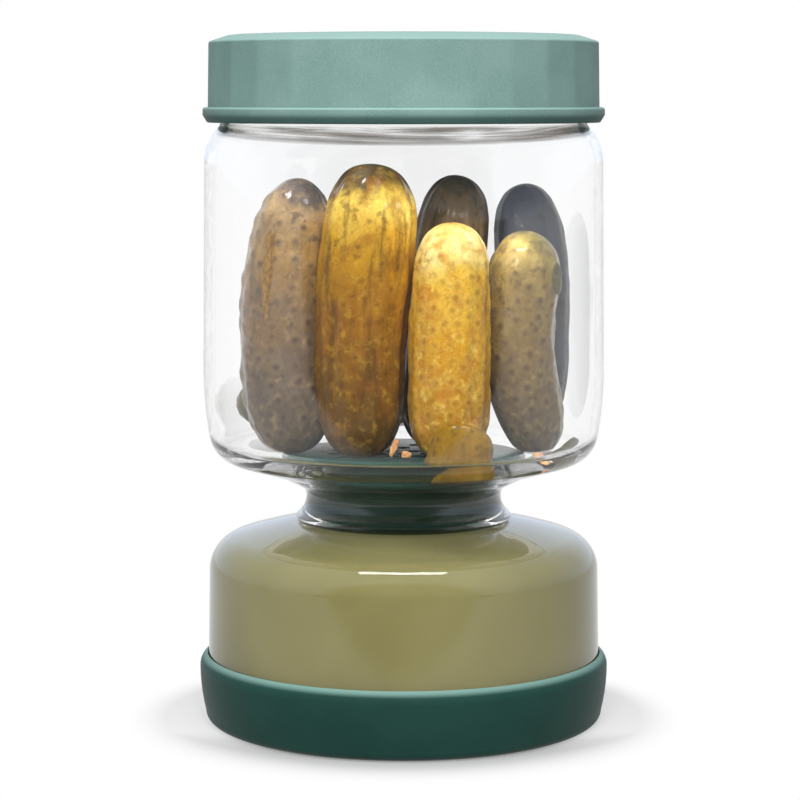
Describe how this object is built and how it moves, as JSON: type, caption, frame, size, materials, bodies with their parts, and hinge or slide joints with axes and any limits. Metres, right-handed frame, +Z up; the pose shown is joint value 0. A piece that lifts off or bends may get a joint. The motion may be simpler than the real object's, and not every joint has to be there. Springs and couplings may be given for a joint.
{
  "type": "pickle jar",
  "caption": "Hourglass pickle jar: clear upper chamber of gherkins, strainer waist, brine-filled lower chamber, faceted screw lid and soft base cup.",
  "frame": {"origin": "centre of the base cup's flat underside", "axes": "+Z up along the jar's axis, the front with the tallest gherkins faces -Y, +X to the right seen from the front"},
  "size_m": [0.1124, 0.1124, 0.1871],
  "materials": {
    "lid_plastic": "satin sage-green moulded plastic",
    "cup_silicone": "matte dark green silicone",
    "clear_glass": "clear polished glass",
    "brine": "cloudy olive-yellow pickling brine",
    "strainer_plastic": "dark green moulded plastic",
    "gherkin_gold": "wet golden gherkin skin",
    "gherkin_olive": "wet olive-brown gherkin skin"
  },
  "bodies": {
    "root": {"base_cup": "cup_silicone", "lower_glass": "clear_glass", "brine": "brine", "upper_glass": "clear_glass", "strainer": "strainer_plastic", "lid": "lid_plastic", "gherkin_1": "gherkin_olive", "gherkin_2": "gherkin_gold", "gherkin_3": "gherkin_gold", "gherkin_4": "gherkin_olive", "gherkin_5": "gherkin_olive", "gherkin_6": "gherkin_olive", "gherkin_7": "gherkin_olive", "gherkin_stub": "gherkin_gold"}
  },
  "joints": []
}
